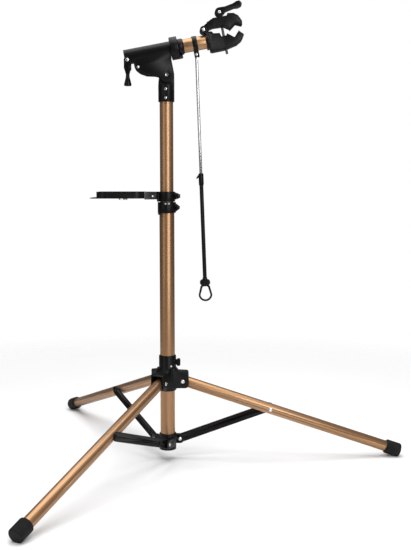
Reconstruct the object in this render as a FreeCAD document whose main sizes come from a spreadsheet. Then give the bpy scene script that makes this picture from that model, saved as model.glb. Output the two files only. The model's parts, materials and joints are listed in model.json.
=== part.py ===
import FreeCAD, Part
import math
import os
import re
import Sketcher

# Folding tripod work stand with a clamp head.  Millimetres, +Z up, floor at Z = 0.
# The column stands on the Z axis, the clamp head points to +X and the tool tray to -X.

Vector = FreeCAD.Vector
Rotation = FreeCAD.Rotation

DIMENSIONS = {
    # column tubes
    "lower_tube_radius": 19.0, "upper_tube_radius": 17.0, "lower_wall": 1.2, "tube_wall": 1.4,
    "lower_tube_bottom": 32.0, "lower_tube_length": 628.0,
    "upper_tube_top": 960.0, "upper_tube_length": 635.0,
    "slide_clearance": 0.25, "running_clearance": 0.05, "gap": 0.4,
    # base bracket
    "base_bottom": 28.0, "base_top": 70.0, "casting_wall": 3.0,
    "base_pivot_radius": 31.5, "base_pivot_height": 50.0, "ear_radius": 12.0, "ear": 3.4,
    "bolt_radius": 2.6, "bolt_head_radius": 5.0, "bolt_head_height": 2.4,
    # hub
    "hub_bottom": 186.0, "hub_shoulder": 238.0, "hub_top": 275.0, "hub_wall": 2.4,
    "hub_pivot_radius": 39.0, "hub_pivot_height": 209.5, "bush_wall": 0.9, "bush_flange": 1.6,
    "housing_reach": 54.5, "housing_bottom": 192.0, "cheek": 3.4, "ceiling": 5.5,
    # legs and braces
    "leg_radius": 14.0, "leg_wall": 1.4, "leg_length": 600.0, "leg_tilt": 18.8,
    "leg_end": 606.0, "foot_radius": 18.4, "foot_length": 40.0, "foot_edge": 5.0,
    "brace_joint": 241.6, "brace_width": 23.0, "brace_depth": 5.0, "brace_sheet": 1.6,
    "brace_offset": 14.9, "rivet_at": 38.0, "rivet_head_radius": 4.2,
    # height clamp and tray collar
    "clamp_bottom": 644.0, "clamp_top": 671.0, "collar_wall": 4.2,
    "tray_collar_bottom": 672.5, "tray_collar_top": 697.5, "clamp_ear_reach": 33.0,
    "clamp_bolt_at": 27.5, "stud_radius": 2.5, "knob_radius": 8.0, "small_knob_radius": 5.0,
    # tool tray
    "tray_far": 174.0, "tray_near": 56.0, "tray_depth": 150.0, "tray_wall": 1.8,
    "tray_floor": 681.0, "tray_corner": 24.0, "tray_lip": 16.0, "tray_arm_wall": 3.0,
    # head
    "socket_bottom": 922.0, "socket_shoulder": 962.0, "socket_wall": 3.2,
    "tilt_x": 1.0, "tilt_height": 987.0, "tongue_half": 12.0, "tongue_radius": 19.0,
    "cheek_plate": 5.0, "head_x": 1.0, "head_z": 1050.7, "head_tilt": 11.1,
    "barrel_radius": 18.6, "barrel_back": 107.0, "barrel_front": 11.0, "shaft_radius": 13.0,
    "collar_radius": 27.5, "collar_front": 29.0, "ring_radius": 20.0, "ring_front": 43.0,
    "arm_radius": 17.0, "arm_front": 101.0,
    # lock lever at the back of the barrel
    "lever_x": -101.0, "lever_z": -9.3, "lever_half": 19.2, "lever_plate": 3.0,
    # jaws, in the head's own tilted frame
    "flange_radius": 21.0, "jaw_half": 16.0, "jaw_pin_x": 99.3, "jaw_pin_z": 28.4,
    "jaw_eye": 9.0, "tongue_jaw_half": 8.5, "pad_thickness": 3.0,
    "screw_x": 147.0, "screw_radius": 3.2, "screw_bottom": -38.7, "cam_z": 64.0,
    "cam_radius": 11.5, "cam_half": 9.0,
    # band and hanging handlebar rod
    "band_x": 72.0, "band_width": 12.0, "band_wall": 2.6, "rod_pivot_x": 71.0,
    "rod_pivot_z": -26.5, "rod_lean": 2.15, "rod_radius": 3.6, "rod_end": 345.0,
    "sleeve_top": 295.0, "sleeve_end": 561.0, "sleeve_radius": 5.0, "sleeve_wall": 1.1,
    "loop_end": 622.6, "loop_thickness": 5.0, "loop_half": 17.6,
}

DERIVED = {
    "lower_bore": "lower_tube_radius - lower_wall",
    "upper_bore": "upper_tube_radius - tube_wall",
    "leg_bore": "leg_radius - leg_wall",
    "lower_tube_top": "lower_tube_bottom + lower_tube_length",
    "upper_tube_bottom": "upper_tube_top - upper_tube_length",
    "upper_slide_bore": "upper_tube_radius + slide_clearance",
    "pivot_bore": "bolt_radius + running_clearance",
    # the hub slides on the column with a plastic bushing between them
    "hub_bush_bore": "lower_tube_radius + slide_clearance",
    "hub_bore": "hub_bush_bore + bush_wall",
    "hub_radius": "hub_bore + hub_wall",
    "slot_half": "leg_radius + gap",
    "housing_half": "slot_half + cheek",
    "slot_top": "hub_pivot_height + leg_radius/cos(leg_tilt) + leg_radius*sin(leg_tilt) + gap",
    "housing_top": "slot_top + ceiling",
    # each brace runs from its ears on the base bracket to the side of its leg
    "brace_run": "hub_pivot_radius + brace_joint*cos(leg_tilt) - base_pivot_radius",
    "brace_rise": "hub_pivot_height - brace_joint*sin(leg_tilt) - base_pivot_height",
    "brace_length": "sqrt((brace_run)^2 + (brace_rise)^2)",
    "brace_half": "brace_width/2",
    "brace_outside": "brace_offset + brace_depth",
    # collars on the column
    "clamp_radius": "lower_tube_radius + collar_wall",
    "socket_radius": "upper_tube_radius + socket_wall",
    "cheek_inside": "tongue_half + gap",
    "cheek_outside": "cheek_inside + cheek_plate",
    "lever_outside": "lever_half + lever_plate",
    "arm_back": "collar_front + gap",
    "band_radius": "arm_radius + band_wall",
    "tray_top": "tray_collar_top",
}

doc = FreeCAD.newDocument("WorkStand")
sheet = doc.addObject("Spreadsheet::Sheet", "sizes")
for row, (alias, size) in enumerate(DIMENSIONS.items(), start=1):
    sheet.set(f"A{row}", alias)
    sheet.set(f"B{row}", str(size))
    sheet.setAlias(f"B{row}", alias)
doc.recompute()


# ---------------------------------------------------------------- expressions

def expression(text):
    """A length or angle written with the names above, as a FreeCAD expression."""
    def name(match):
        word = match.group(0)
        if word in DERIVED:
            return "(" + expression(DERIVED[word]) + ")"
        return "sizes." + word if word in DIMENSIONS else word
    return re.sub(r"[A-Za-z_][A-Za-z_0-9]*", name, str(text))


def number(text):
    """The present value of such a text."""
    result = sheet.evalExpression(expression(text))
    return float(getattr(result, "Value", result))


def bind(target, **sizes):
    for key, text in sizes.items():
        target.setExpression(key.replace("__", "."), expression(text))
    return target


def place(target, at=("0", "0", "0"), turn=None):
    """Bind the place of an object; turn is a fixed rotation."""
    if turn is not None:
        target.Placement = FreeCAD.Placement(Vector(0, 0, 0), turn)
    for axis, text in zip("xyz", at):
        if str(text) != "0":
            target.setExpression("Placement.Base." + axis, expression(text))
    return target


# ---------------------------------------------------------------- sketches

def plane(body, role):
    return next(f for f in body.Origin.OriginFeatures if f.Role == role)


def new_body(label):
    body = doc.addObject("PartDesign::Body", label)
    body.Label = label
    return body


def new_sketch(body, role, lift=None):
    """An empty sketch on one of the body's own planes, lifted off it along its normal."""
    drawing = body.newObject("Sketcher::SketchObject", body.Name + "_sketch")
    drawing.AttachmentSupport = [(plane(body, role), "")]
    drawing.MapMode = "FlatFace"
    if lift is not None:
        drawing.setExpression(".AttachmentOffset.Base.z", expression(lift))
    return drawing


def fix(drawing, kind, where, text):
    value = number(text)
    index = drawing.addConstraint(Sketcher.Constraint(kind, -1, 1, where[0], where[1], value))
    drawing.setExpression(f"Constraints[{index}]", expression(text))


def circle(drawing, x, y, radius):
    centre = Vector(number(x), number(y), 0)
    index = drawing.addGeometry(Part.Circle(centre, Vector(0, 0, 1), number(radius)), False)
    fix(drawing, "DistanceX", (index, 3), x)
    fix(drawing, "DistanceY", (index, 3), y)
    size = drawing.addConstraint(Sketcher.Constraint("Radius", index, number(radius)))
    drawing.setExpression(f"Constraints[{size}]", expression(radius))


def outline(drawing, corners):
    """A closed outline.  A corner is (x, y), or (x, y, centre x, centre y, turn) where an arc
    about that centre runs to the next corner, anticlockwise for turn 1 and clockwise for -1."""
    points = [(number(c[0]), number(c[1])) for c in corners]
    first_ends, last_ends = [], []
    for k, corner in enumerate(corners):
        a, b = points[k], points[(k + 1) % len(points)]
        if len(corner) == 2:
            edge = Part.LineSegment(Vector(*a, 0), Vector(*b, 0))
            index = drawing.addGeometry(edge, False)
            first_ends.append((index, 1))
            last_ends.append((index, 2))
            continue
        cx, cy, turn = number(corner[2]), number(corner[3]), corner[4]
        start = math.atan2(a[1] - cy, a[0] - cx)
        stop = math.atan2(b[1] - cy, b[0] - cx)
        ring = Part.Circle(Vector(cx, cy, 0), Vector(0, 0, 1), math.dist(a, (cx, cy)))
        low, high = (start, stop) if turn > 0 else (stop, start)
        index = drawing.addGeometry(Part.ArcOfCircle(ring, low, high), False)
        first_ends.append((index, 1 if turn > 0 else 2))
        last_ends.append((index, 2 if turn > 0 else 1))
        chord_is_level = abs(b[0] - a[0]) > abs(b[1] - a[1])
        kind, text = ("DistanceY", corner[3]) if chord_is_level else ("DistanceX", corner[2])
        fix(drawing, kind, (index, 3), text)
    for k, corner in enumerate(corners):
        before = last_ends[k - 1]
        here = first_ends[k]
        drawing.addConstraint(Sketcher.Constraint("Coincident", *before, *here))
        fix(drawing, "DistanceX", here, corner[0])
        fix(drawing, "DistanceY", here, corner[1])


# ---------------------------------------------------------------- features

def pad(body, role, shapes, length, lift=None, middle=False, cut=False, flip=False):
    """Pad or pocket the shapes: lists are outlines and 3-tuples are circles."""
    drawing = new_sketch(body, role, lift)
    for shape in shapes:
        if isinstance(shape, tuple):
            circle(drawing, *shape)
        else:
            outline(drawing, shape)
    kind = "PartDesign::Pocket" if cut else "PartDesign::Pad"
    feature = body.newObject(kind, body.Name + ("_pocket" if cut else "_pad"))
    feature.Profile = drawing
    feature.Reversed = flip
    if middle:
        feature.SideType = "Symmetric"
    feature.setExpression("Length", expression(length))
    drawing.Visibility = False
    return feature


def revolve(body, corners, cut=False):
    """Turn an outline given as (radius, height) about the body's own Z axis."""
    drawing = new_sketch(body, "XZ_Plane")
    outline(drawing, corners)
    kind = "PartDesign::Groove" if cut else "PartDesign::Revolution"
    feature = body.newObject(kind, body.Name + "_turned")
    feature.Profile = drawing
    feature.ReferenceAxis = (plane(body, "Z_Axis"), [""])
    feature.Angle = 360
    return feature


def soften(body, pick, radius, kind="Fillet"):
    """Round (or chamfer) the edges of the body's tip that pick(edge) chooses."""
    doc.recompute()
    tip = body.Tip
    names = [f"Edge{k}" for k, e in enumerate(tip.Shape.Edges, start=1) if pick(e)]
    feature = body.newObject("PartDesign::" + kind, body.Name + "_" + kind.lower())
    feature.Base = (tip, names)
    feature.setExpression("Radius" if kind == "Fillet" else "Size", expression(radius))
    return feature


def upright(edge, axis=Vector(0, 0, 1)):
    if edge.Curve.TypeId != "Part::GeomLine":
        return False
    return abs(edge.Curve.Direction.dot(axis)) > 0.999


def box(label, size, at, turn=None):
    made = bind(doc.addObject("Part::Box", label), Length=size[0], Width=size[1], Height=size[2])
    return place(made, at, turn)


def cylinder(label, radius, length, at, turn=None):
    made = bind(doc.addObject("Part::Cylinder", label), Radius=radius, Height=length)
    return place(made, at, turn)


def fuse(label, pieces):
    made = doc.addObject("Part::MultiFuse", label)
    made.Shapes = pieces
    made.Refine = True
    return made


def cut(label, base, tools):
    made = doc.addObject("Part::Cut", label)
    made.Base = base
    made.Tool = tools[0] if len(tools) == 1 else fuse(label + "_tools", tools)
    made.Refine = True
    return made


def tube(label, radius, bore, bottom, length):
    body = new_body(label)
    pad(body, "XY_Plane", [("0", "0", radius), ("0", "0", bore)], length)
    return place(body, ("0", "0", bottom))


def turned(label, corners, at=("0", "0", "0"), turn=None):
    """A turned piece: its (radius, height) outline about its own Z axis."""
    body = new_body(label)
    revolve(body, corners)
    return place(body, at, turn)


def headed(label, radius, length, head_radius, head, at, turn, both=True):
    """A bolt or pin of the given length with a head at its start and, with both, at its end."""
    corners = [("0", f"-({head})"), (head_radius, f"-({head})"), (head_radius, "0"),
               (radius, "0"), (radius, length)]
    if both:
        corners += [(head_radius, length), (head_radius, f"{length} + {head}")]
        corners += [("0", f"{length} + {head}")]
    else:
        corners += [("0", length)]
    return turned(label, corners, at, turn)


def group(label, pieces):
    made = doc.addObject("Part::Compound", label)
    made.Links = pieces
    return made


LEGS = {"right": 0, "back": 120, "front": 240}
TO_PLUS_Y = Rotation(Vector(1, 0, 0), -90)
TO_PLUS_X = Rotation(Vector(0, 1, 0), 90)


def about_z(azimuth):
    return Rotation(Vector(0, 0, 1), azimuth)


def around(radial, sideways, height, azimuth):
    """A place given by its distance out along an azimuth and sideways from it."""
    return (f"({radial})*cos({azimuth}) - ({sideways})*sin({azimuth})",
            f"({radial})*sin({azimuth}) + ({sideways})*cos({azimuth})", height)


def in_head(x, z, y="0"):
    """A place in the head's tilted frame."""
    return (f"head_x + ({x})*cos(head_tilt) - ({z})*sin(head_tilt)", y,
            f"head_z + ({x})*sin(head_tilt) + ({z})*cos(head_tilt)")


HEAD_TURN = Rotation(Vector(0, 1, 0), -number("head_tilt"))


# ---------------------------------------------------------------- column

def make_lower_tube():
    return tube("lower_tube", "lower_tube_radius", "lower_bore", "lower_tube_bottom",
                "lower_tube_length")


def make_base_bracket():
    height = "base_top - base_bottom"
    pieces = [cylinder("base_sleeve", "lower_tube_radius + casting_wall", height,
                       ("0", "0", "base_bottom"))]
    holes = [cylinder("base_bore", "lower_tube_radius", height, ("0", "0", "base_bottom"))]
    inner, outer = "brace_offset - gap - ear", "brace_outside + gap"
    for name, azimuth in LEGS.items():
        turn = about_z(azimuth)
        low = "base_pivot_height - ear_radius"
        for side, offset in (("in", inner), ("out", outer)):
            pieces.append(box(f"base_ear_{side}_{name}", ("base_pivot_radius", "ear", "2*ear_radius"),
                              around("0", offset, low, azimuth), turn))
            pieces.append(cylinder(f"base_eye_{side}_{name}", "ear_radius", "ear",
                                   around("base_pivot_radius", offset, "base_pivot_height", azimuth),
                                   turn * TO_PLUS_Y))
        web = "base_pivot_radius - brace_half - 1.5"
        pieces.append(box(f"base_web_{name}", (web, f"{outer} + ear - ({inner})", "2*ear_radius"),
                          around("0", inner, low, azimuth), turn))
        holes.append(cylinder(f"base_hole_{name}", "bolt_radius", "80",
                              around("base_pivot_radius", "0", "base_pivot_height", azimuth),
                              turn * TO_PLUS_Y))
    return cut("base_bracket", fuse("base_casting", pieces), holes)


def make_base_plug():
    stem = "lower_tube_bottom - base_bottom"
    return turned("base_plug", [("0", "0"), ("lower_tube_radius", "0"), ("lower_tube_radius", stem),
                                ("lower_bore", stem), ("lower_bore", f"{stem} + 14"),
                                ("lower_bore - 3", f"{stem} + 14"), ("lower_bore - 3", f"{stem} + 1"),
                                ("0", f"{stem} + 1")], ("0", "0", "base_bottom"))


def make_base_bolts():
    inner, outer = "brace_offset - gap - ear", "brace_outside + gap + ear"
    return group("base_bolts", [
        headed(f"base_bolt_{name}", "bolt_radius", f"{outer} - ({inner})", "bolt_head_radius",
               "bolt_head_height", around("base_pivot_radius", inner, "base_pivot_height", azimuth),
               about_z(azimuth) * TO_PLUS_Y)
        for name, azimuth in LEGS.items()])


def clamp_ears(name, thickness, low, high, reach):
    """Two ears of a split collar on its +X side, tapering to their tip, with the bolt's hole."""
    pieces = []
    for side in (-1, 1):
        body = new_body(f"{name}_ear_{'front' if side < 0 else 'back'}")
        middle = f"({low} + {high})/2"
        pad(body, "XZ_Plane", [[("17.5", low), ("23", low), (reach, f"{middle} - 3"),
                                (reach, f"{middle} + 3"), ("23", high), ("17.5", high)]],
            thickness, lift=f"{-side} * 1.2" if side > 0 else "1.2", flip=side > 0)
        pieces.append(body)
    return pieces


CLAMP_SCREWS = [(x, "-clamp_radius + 0.6", "clamp_top - 4") for x in ("-4.2", "4.2")]


def make_height_clamp():
    high = "clamp_top - clamp_bottom"
    ears = clamp_ears("height", "7", "clamp_bottom + 3", "clamp_top - 3", "clamp_ear_reach")
    tab = box("height_tab", ("5", "8", "7"), ("-lower_tube_radius - 3.4", "-10", "clamp_bottom - 5"))
    body = fuse("height_casting", [cylinder("height_ring", "clamp_radius", high,
                                            ("0", "0", "clamp_bottom")), tab] + ears)
    flange_top = "lower_tube_top + bush_flange"
    holes = [cylinder("height_bore", "lower_tube_radius", f"{flange_top} - clamp_bottom + 10",
                      ("0", "0", "clamp_bottom - 10")),
             cylinder("height_mouth", "upper_tube_radius + gap", "40", ("0", "0", "clamp_bottom")),
             box("height_slit", ("8", "2.4", "40"), ("17.5", "-1.2", "clamp_bottom - 5")),
             cylinder("height_bolt_hole", "stud_radius + running_clearance", "40",
                      ("clamp_bolt_at", "-20", "(clamp_bottom + clamp_top)/2"), TO_PLUS_Y)]
    for k, (x, y, z) in enumerate(CLAMP_SCREWS):
        holes.append(cylinder(f"height_screw_hole_{k}", "1.6", "3", (x, y, z), TO_PLUS_Y))
        holes.append(cylinder(f"height_screw_seat_{k}", "2.6", "3", (x, f"{y} - 3", z), TO_PLUS_Y))
    return cut("height_clamp", body, holes)


def make_height_bush():
    return turned("height_bush", [("upper_slide_bore", "0"), ("lower_bore", "0"), ("lower_bore", "90"),
                                  ("lower_tube_radius", "90"), ("lower_tube_radius", "90 + bush_flange"),
                                  ("upper_slide_bore", "90 + bush_flange")],
                  ("0", "0", "lower_tube_top - 90"))


def make_clamp_screws():
    return group("clamp_screws", [headed(f"clamp_screw_{k}", "1.6", "3", "2.3", "1.2", at, TO_PLUS_Y,
                                         both=False) for k, at in enumerate(CLAMP_SCREWS)])


def knob_on_bolt(label, radius, at, ear, lobes):
    """A hand knob in front of two clamp ears with its bolt and nut through them."""
    reach = f"2*({ear}) + 2.4"
    bolt = turned(label + "_bolt", [("0", "0"), ("stud_radius", "0"), ("stud_radius", f"{reach} + gap"),
                                    ("stud_radius + 1.8", f"{reach} + gap"),
                                    ("stud_radius + 1.8", f"{reach} + gap + 3.5"),
                                    ("0", f"{reach} + gap + 3.5")], at, TO_PLUS_Y)
    cap = turned(label + "_cap", [("0", "-9"), (f"{radius} - 2.5", "-9"), (radius, "-7"),
                                  (radius, "-2.4"), (f"{radius} - 2", "-gap"), ("0", "-gap")],
                 at, TO_PLUS_Y)
    grips = [cylinder(f"{label}_grip_{k}", "2.4", "12",
                      (f"{at[0]} + ({radius} + 1.0)*cos({360 * k / lobes})", f"{at[1]} - 11",
                       f"{at[2]} + ({radius} + 1.0)*sin({360 * k / lobes})"), TO_PLUS_Y)
             for k in range(lobes)]
    neck = cylinder(label + "_neck", "stud_radius", "6", (at[0], f"{at[1]} - 5", at[2]), TO_PLUS_Y)
    return fuse(label, [cut(label + "_head", cap, grips), neck, bolt])


def make_height_knob():
    return knob_on_bolt("height_knob", "small_knob_radius",
                        ("clamp_bolt_at", "-8.2", "(clamp_bottom + clamp_top)/2"), "7", 5)


# ---------------------------------------------------------------- hub

def make_housing(name, azimuth):
    body = new_body("housing_" + name)
    low, reach = "housing_bottom", "housing_reach"
    pad(body, "XZ_Plane", [[("0", low), (f"{reach} - 9", low, f"{reach} - 9", f"{low} + 9", 1),
                            (reach, f"{low} + 9"), (reach, "housing_top - 4"),
                            (f"{reach} - 3", "housing_top - 1.5"), ("hub_radius + 6", "housing_top"),
                            ("hub_radius - 1", "housing_top + 9"), ("0", "housing_top + 9")]],
        "2*housing_half", middle=True)
    return place(body, ("0", "0", "0"), about_z(azimuth))


KNOB_AZIMUTH = -32
SCREW_AZIMUTH = -66


def hub_screw_place():
    return (around("hub_radius - 0.4", "0", "hub_top - 24", SCREW_AZIMUTH),
            about_z(SCREW_AZIMUTH) * Rotation(Vector(0, 1, 0), -90))


def make_hub():
    pieces = [cylinder("hub_barrel", "hub_radius + 0.5", "hub_shoulder - hub_bottom",
                       ("0", "0", "hub_bottom")),
              cylinder("hub_sleeve", "hub_radius - 0.4", "hub_top - hub_bottom",
                       ("0", "0", "hub_bottom")),
              cylinder("hub_boss", "6.5", "hub_radius + 2.5", ("0", "0", "hub_top - 14"),
                       about_z(KNOB_AZIMUTH) * TO_PLUS_X)]
    holes = [cylinder("hub_hole", "hub_bore", "hub_top - hub_bottom + 2", ("0", "0", "hub_bottom - 1")),
             cylinder("hub_knob_hole", "stud_radius + running_clearance", "60",
                      ("0", "0", "hub_top - 14"), about_z(KNOB_AZIMUTH) * TO_PLUS_X),
             cylinder("hub_screw_hole", "1.6", "1.6", *hub_screw_place())]
    for name, azimuth in LEGS.items():
        pieces.append(make_housing(name, azimuth))
        inner = "hub_pivot_radius - leg_radius - gap"
        holes.append(box(f"hub_slot_{name}", (f"housing_reach + 5 - ({inner})", "2*slot_half",
                                              "slot_top - hub_bottom + 10"),
                         around(inner, "-slot_half", "hub_bottom - 10", azimuth), about_z(azimuth)))
        holes.append(cylinder(f"hub_pivot_{name}", "bolt_radius", "80",
                              around("hub_pivot_radius", "-40", "hub_pivot_height", azimuth),
                              about_z(azimuth) * TO_PLUS_Y))
    return cut("hub", fuse("hub_casting", pieces), holes)


def make_hub_bush():
    length = "hub_top - hub_bottom"
    sleeve = turned("hub_bush_sleeve", [
        ("hub_bush_bore", "-bush_flange"), ("hub_radius - 1", "-bush_flange"), ("hub_radius - 1", "0"),
        ("hub_bore", "0"), ("hub_bore", length), ("hub_radius - 1.4", length),
        ("hub_radius - 1.4", f"{length} + bush_flange"), ("hub_bush_bore", f"{length} + bush_flange")],
        ("0", "0", "hub_bottom"))
    return cut("hub_bush", sleeve, [cylinder("hub_bush_window", "stud_radius + 0.6", "60",
                                             ("0", "0", "hub_top - 14"),
                                             about_z(KNOB_AZIMUTH) * TO_PLUS_X)])


def make_hub_bolts():
    return group("hub_bolts", [
        headed(f"hub_bolt_{name}", "bolt_radius", "2*housing_half", "bolt_head_radius",
               "bolt_head_height", around("hub_pivot_radius", "-housing_half", "hub_pivot_height", azimuth),
               about_z(azimuth) * TO_PLUS_Y)
        for name, azimuth in LEGS.items()])


def make_hub_screw():
    return headed("hub_screw", "1.6", "1.6", "2.6", "1.4", *hub_screw_place(), both=False)


def make_hub_knob():
    start = "lower_tube_radius + 0.2"
    outside = "hub_radius + 2.5 + gap"
    turn = about_z(KNOB_AZIMUTH) * TO_PLUS_X
    stem = turned("hub_knob_stem", [("0", start), ("stud_radius", start), ("stud_radius", outside),
                                    ("5.5", outside), ("5.5", f"{outside} + 3"),
                                    ("0", f"{outside} + 3")], ("0", "0", "hub_top - 14"), turn)
    wing = new_body("hub_knob_wing")
    pad(wing, "XZ_Plane", [[("-4.5", outside), ("4.5", outside), ("10", f"{outside} + 6"),
                            ("9", f"{outside} + 12"), ("-9", f"{outside} + 12"),
                            ("-10", f"{outside} + 6")]], "5", middle=True)
    soften(wing, lambda e: upright(e, Vector(0, 1, 0)), "1.6")
    place(wing, ("0", "0", "hub_top - 14"), turn)
    return fuse("hub_knob", [stem, wing])


# ---------------------------------------------------------------- legs and braces

def leg_turn(azimuth):
    """Own Z runs down the leg, own X to its under side and own Y sideways."""
    return about_z(azimuth) * Rotation(Vector(0, 1, 0), 90 + number("leg_tilt"))


def leg_place(azimuth):
    return around("hub_pivot_radius", "0", "hub_pivot_height", azimuth), leg_turn(azimuth)


def make_leg_tube(name, azimuth):
    body = new_body("leg_tube_" + name)
    pad(body, "XY_Plane", [("0", "0", "leg_radius"), ("0", "0", "leg_bore")],
        "leg_length + leg_radius", lift="-leg_radius")
    wide = "leg_radius + 3"
    pad(body, "XZ_Plane", [[("-leg_radius", "0", "0", "0", 1), ("leg_radius", "0"), (wide, "0"),
                            (wide, f"-({wide})"), (f"-({wide})", f"-({wide})"), (f"-({wide})", "0")]],
        "3*leg_radius", middle=True, cut=True)
    pad(body, "XZ_Plane", [("0", "0", "pivot_bore")], "3*leg_radius", middle=True, cut=True)
    pad(body, "XZ_Plane", [("0", "brace_joint", "bolt_radius")], "3*leg_radius", middle=True, cut=True)
    return place(body, *leg_place(azimuth))


def floor_depth(along):
    """How far under the leg's axis the floor is, at a distance along the leg."""
    return f"(hub_pivot_height - ({along})*sin(leg_tilt))/cos(leg_tilt)"


def make_leg_foot(name, azimuth):
    body = new_body("leg_foot_" + name)
    start = "leg_end - foot_length"
    revolve(body, [("0", "leg_end"), ("foot_radius - foot_edge", "leg_end",
                                      "foot_radius - foot_edge", "leg_end - foot_edge", -1),
                   ("foot_radius", "leg_end - foot_edge"), ("foot_radius", f"{start} + 2"),
                   ("foot_radius - 2", start), ("leg_radius", start), ("leg_radius", "leg_length"),
                   ("0", "leg_length")])
    near, far = "leg_end - 60", "leg_end + 10"
    pad(body, "XZ_Plane", [[(floor_depth(near), near), (floor_depth(far), far), ("90", far),
                            ("90", near)]], "4*foot_radius", middle=True, cut=True)
    return place(body, *leg_place(azimuth))


def make_leg_bolt(name, azimuth):
    at = around("hub_pivot_radius + brace_joint*cos(leg_tilt)", "-leg_radius",
                "hub_pivot_height - brace_joint*sin(leg_tilt)", azimuth)
    return headed("leg_bolt_" + name, "bolt_radius", "2*leg_radius - 0.1", "bolt_head_radius",
                  "bolt_head_height", at, about_z(azimuth) * TO_PLUS_Y, both=False)


BRACE_ANGLE = number("atan((brace_rise)/(brace_run))")


def stadium(length, radius):
    return [("0", radius, "0", "0", 1), ("0", f"-({radius})"),
            (length, f"-({radius})", length, "0", 1), (length, radius)]


def make_brace(name, azimuth):
    body = new_body("brace_" + name)
    pad(body, "XZ_Plane", [stadium("brace_length", "brace_half")], "brace_depth",
        lift="-brace_offset", flip=True)
    pad(body, "XZ_Plane", [stadium("brace_length", "brace_half - brace_sheet")],
        "brace_depth", lift="-brace_offset - brace_sheet", cut=True)
    for along, radius in (("0", "pivot_bore"), ("brace_length", "bolt_radius"),
                          ("rivet_at", "bolt_radius")):
        pad(body, "XZ_Plane", [(along, "0", radius)], "120", middle=True, cut=True)
    turn = about_z(azimuth) * Rotation(Vector(0, 1, 0), -BRACE_ANGLE)
    return place(body, around("base_pivot_radius", "0", "base_pivot_height", azimuth), turn)


def make_brace_rivets(name, azimuth):
    """The rivet near the foot of the brace and the one that it turns on at the leg."""
    made = []
    for k, along in enumerate(("rivet_at", "brace_length")):
        share = f"({along})/(brace_length)"
        at = around(f"base_pivot_radius + ({share})*(brace_run)", "brace_offset - gap/2",
                    f"base_pivot_height + ({share})*(brace_rise)", azimuth)
        made.append(turned(f"brace_rivet_{k}_{name}", [
            ("0", "0"), ("bolt_radius", "0"), ("bolt_radius", "brace_sheet + gap/2"),
            ("rivet_head_radius", "brace_sheet + gap/2"),
            ("rivet_head_radius - 1", "brace_sheet + gap/2 + 2"), ("0", "brace_sheet + gap/2 + 2")],
            at, about_z(azimuth) * TO_PLUS_Y))
    return group("brace_rivets_" + name, made)


# ---------------------------------------------------------------- upper column

def make_upper_tube():
    return tube("upper_tube", "upper_tube_radius", "upper_bore", "upper_tube_bottom",
                "upper_tube_length")


def make_upper_bush():
    skirt = "lower_bore - slide_clearance - 0.05"
    return turned("upper_bush", [("upper_bore - 2", "-4"), (skirt, "-4"), (skirt, "0"),
                                 ("upper_bore", "0"), ("upper_bore", "24"), ("upper_bore - 2", "24")],
                  ("0", "0", "upper_tube_bottom"))


SOCKET_SCREWS = [("-2", "-socket_radius - 0.8", height)
                 for height in ("socket_bottom + 8", "socket_bottom + 30")]


def make_head_socket():
    tongue = new_body("socket_tongue")
    left, right = "tilt_x - tongue_radius", "tilt_x + tongue_radius"
    pad(tongue, "XZ_Plane", [[("-socket_radius", "socket_shoulder - 12"),
                              ("socket_radius", "socket_shoulder - 12"),
                              ("socket_radius", "socket_shoulder + 6"), (right, "tilt_height"),
                              ("tilt_x + 14", "tilt_height + 22"), ("tilt_x + 9", "tilt_height + 26"),
                              ("tilt_x - 2", "tilt_height + 26"),
                              ("tilt_x - 14", "tilt_height + 15"), (left, "tilt_height"),
                              ("-socket_radius", "socket_shoulder")]], "2*tongue_half", middle=True)
    soften(tongue, lambda e: upright(e, Vector(0, 1, 0)) and e.CenterOfMass.z
           > number("tilt_height + 5"), "3")
    sleeve = cylinder("socket_sleeve", "socket_radius", "socket_shoulder - socket_bottom",
                      ("0", "0", "socket_bottom"))
    rib = box("socket_rib", ("9", "3", "socket_shoulder - socket_bottom"),
              ("-4.5", "-socket_radius - 0.8", "socket_bottom"))
    holes = [cylinder("socket_bore", "upper_tube_radius", "upper_tube_top - socket_bottom",
                      ("0", "0", "socket_bottom")),
             cylinder("socket_pivot", "pivot_bore", "60", ("tilt_x", "-30", "tilt_height"), TO_PLUS_Y)]
    holes += [cylinder(f"socket_screw_hole_{k}", "2", "2", at, TO_PLUS_Y)
              for k, at in enumerate(SOCKET_SCREWS)]
    return cut("head_socket", fuse("socket_casting", [sleeve, tongue, rib]), holes)


def make_socket_screws():
    return group("socket_screws", [headed(f"socket_screw_{k}", "2", "2", "3.4", "2", at, TO_PLUS_Y,
                                          both=False) for k, at in enumerate(SOCKET_SCREWS)])


# ---------------------------------------------------------------- tool tray

TRAY_SCREWS = [("-upper_tube_radius - 8 - tray_arm_wall", side, "tray_floor + 8")
               for side in ("-7", "7")]


def tray_screw_holes(part):
    return [cylinder(f"{part}_screw_hole_{k}", "2", "5", at, TO_PLUS_X)
            for k, at in enumerate(TRAY_SCREWS)]


def make_tray_collar():
    high = "tray_collar_top - tray_collar_bottom"
    ears = clamp_ears("tray", "6", "tray_collar_bottom + 5", "tray_collar_top - 2",
                      "clamp_ear_reach - 1")
    ring = cylinder("tray_ring", "upper_tube_radius + collar_wall", high, ("0", "0", "tray_collar_bottom"))
    pad_block = box("tray_seat", ("5", "26", high), ("-upper_tube_radius - 8", "-13", "tray_collar_bottom"))
    holes = [cylinder("tray_bore", "upper_slide_bore", "60", ("0", "0", "tray_collar_bottom - 10")),
             box("tray_slit", ("12", "2.4", "60"), ("14", "-1.2", "tray_collar_bottom - 10")),
             cylinder("tray_bolt_hole", "stud_radius + running_clearance", "40",
                      ("clamp_bolt_at", "-20", "(tray_collar_bottom + tray_collar_top)/2 + 1.5"),
                      TO_PLUS_Y)]
    holes += tray_screw_holes("tray_collar")
    return cut("tray_collar", fuse("tray_collar_casting", [ring, pad_block] + ears), holes)


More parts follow.
